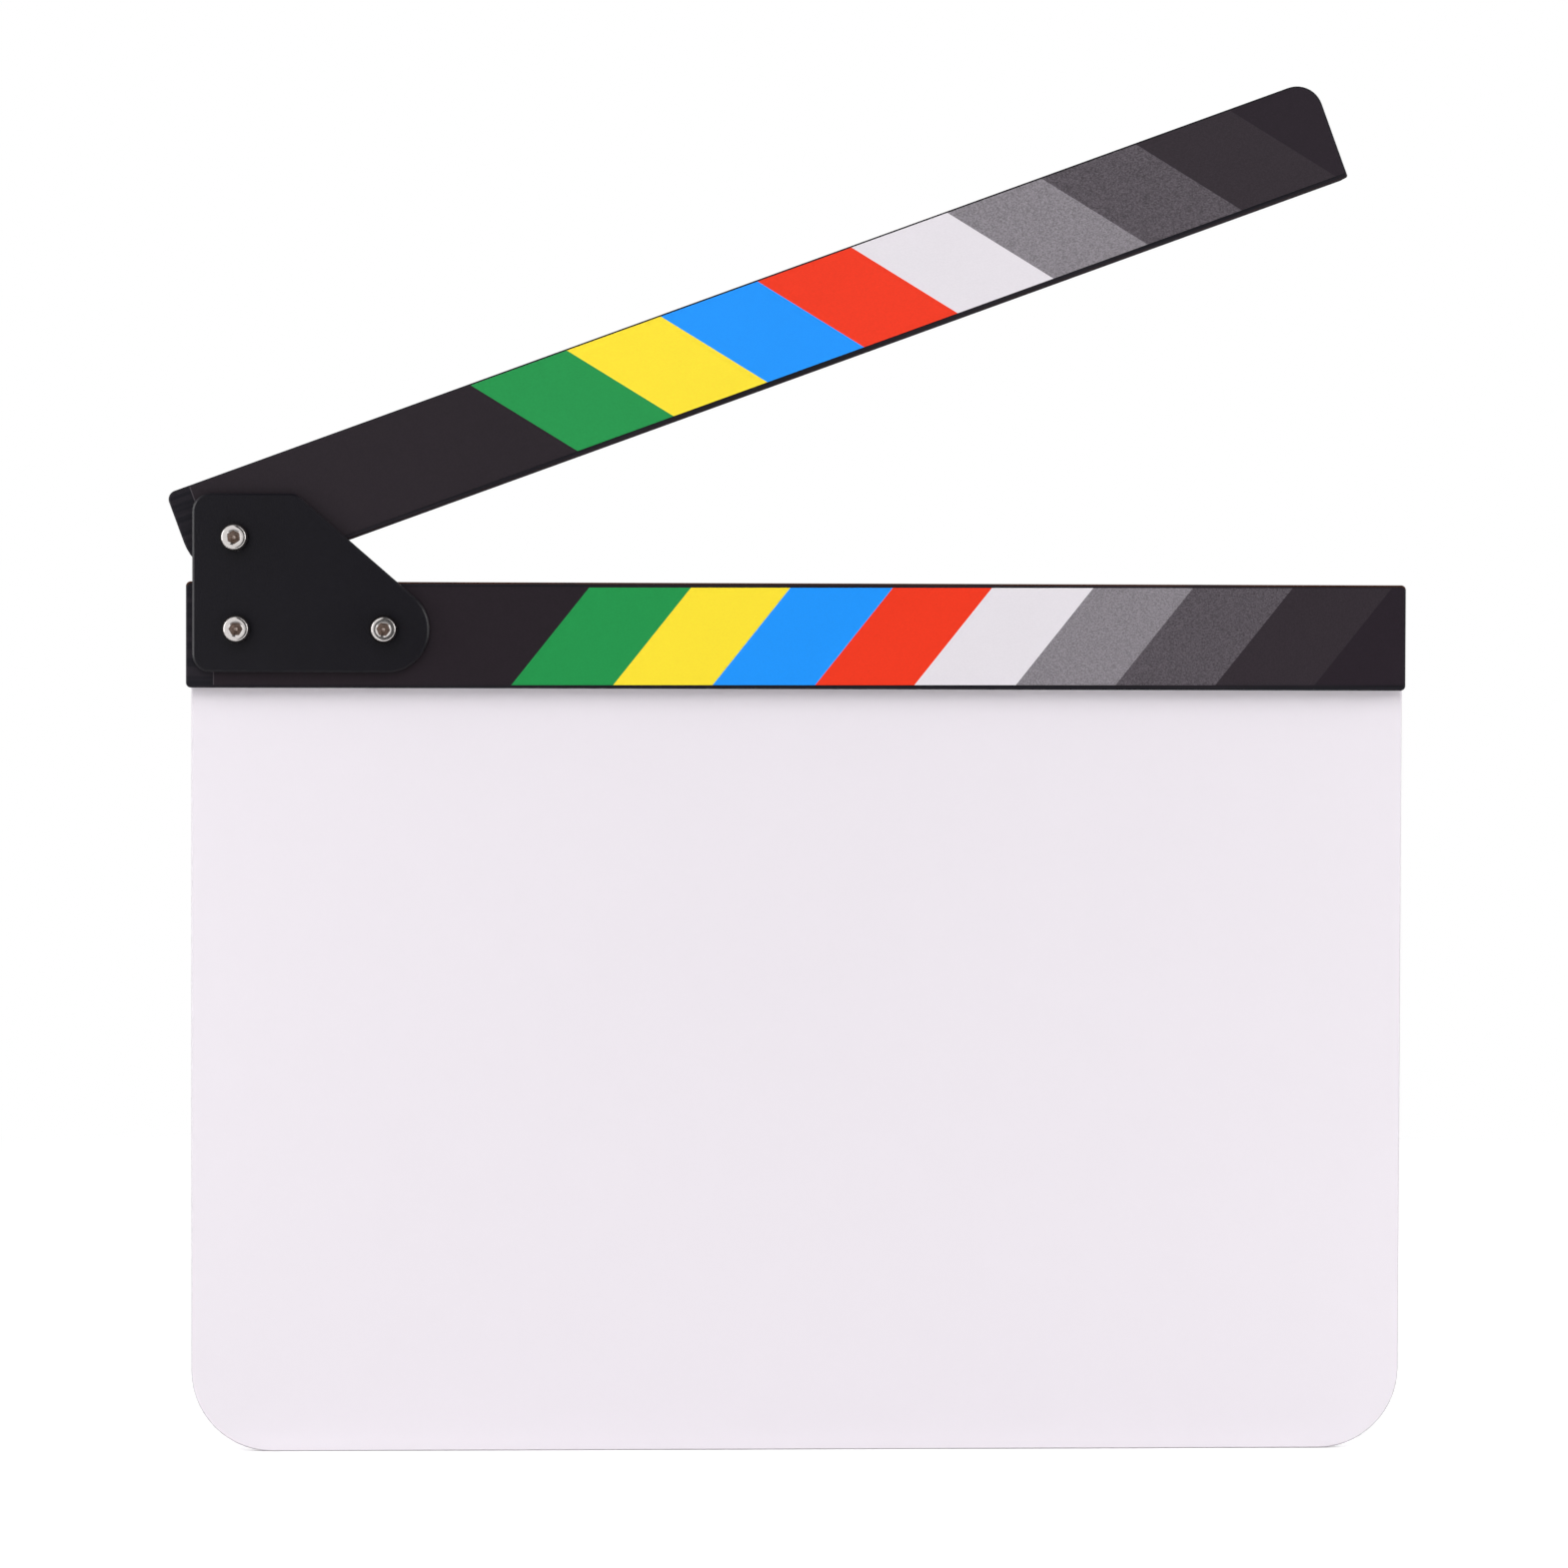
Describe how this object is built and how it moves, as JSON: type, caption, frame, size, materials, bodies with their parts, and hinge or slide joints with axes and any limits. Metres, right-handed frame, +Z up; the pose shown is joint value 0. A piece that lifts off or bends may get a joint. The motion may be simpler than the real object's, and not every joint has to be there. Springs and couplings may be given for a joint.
{
  "type": "clapperboard",
  "caption": "Film clapperboard: white writing board held in a slotted black stick, with a striped clapping stick that swings above it on a screwed hinge plate.",
  "frame": {"origin": "on the board's bottom edge, below the middle of the lower stick, halfway through the board's thickness", "axes": "+X to the right seen from the front, +Y from the striped front to the back, +Z up along the board"},
  "size_m": [0.3043, 0.024, 0.3366],
  "materials": {
    "board_acrylic": "white acrylic sheet, semi-gloss, dry-wipe",
    "stick_paint": "hardwood with satin black paint",
    "lower_print": "printed vinyl strip with colour and grey stripes leaning right",
    "upper_print": "printed vinyl strip with colour and grey stripes leaning left",
    "plate_coat": "fine black powder coat",
    "screw_steel": "bright nickel-plated steel",
    "washer_steel": "bright zinc-plated steel",
    "nut_steel": "bright zinc-plated steel",
    "bush_brass": "turned brass",
    "nylon": "natural nylon"
  },
  "bodies": {
    "board": {"slate_board": "board_acrylic", "lower_stick": "stick_paint", "lower_stripe_label": "lower_print", "hinge_plate": "plate_coat", "front_friction_washer": "nylon", "rear_friction_washer": "nylon", "pivot_screw": "screw_steel", "pivot_washer": "washer_steel", "pivot_nut": "nut_steel", "pivot_nut_insert": "nylon", "lower_left_screw": "screw_steel", "lower_left_washer": "washer_steel", "lower_left_nut": "nut_steel", "lower_left_nut_insert": "nylon", "lower_right_screw": "screw_steel", "lower_right_washer": "washer_steel", "lower_right_nut": "nut_steel", "lower_right_nut_insert": "nylon"},
    "clapper": {"upper_stick": "stick_paint", "upper_stripe_label": "upper_print", "pivot_bush": "bush_brass"}
  },
  "joints": [
    {"name": "clapper_hinge", "type": "hinge", "parent": "board", "child": "clapper", "pos_m": [-0.1381, 0, 0.2247], "axis": [0, -1, 0], "range_deg": [-20.29, 29.85]}
  ]
}
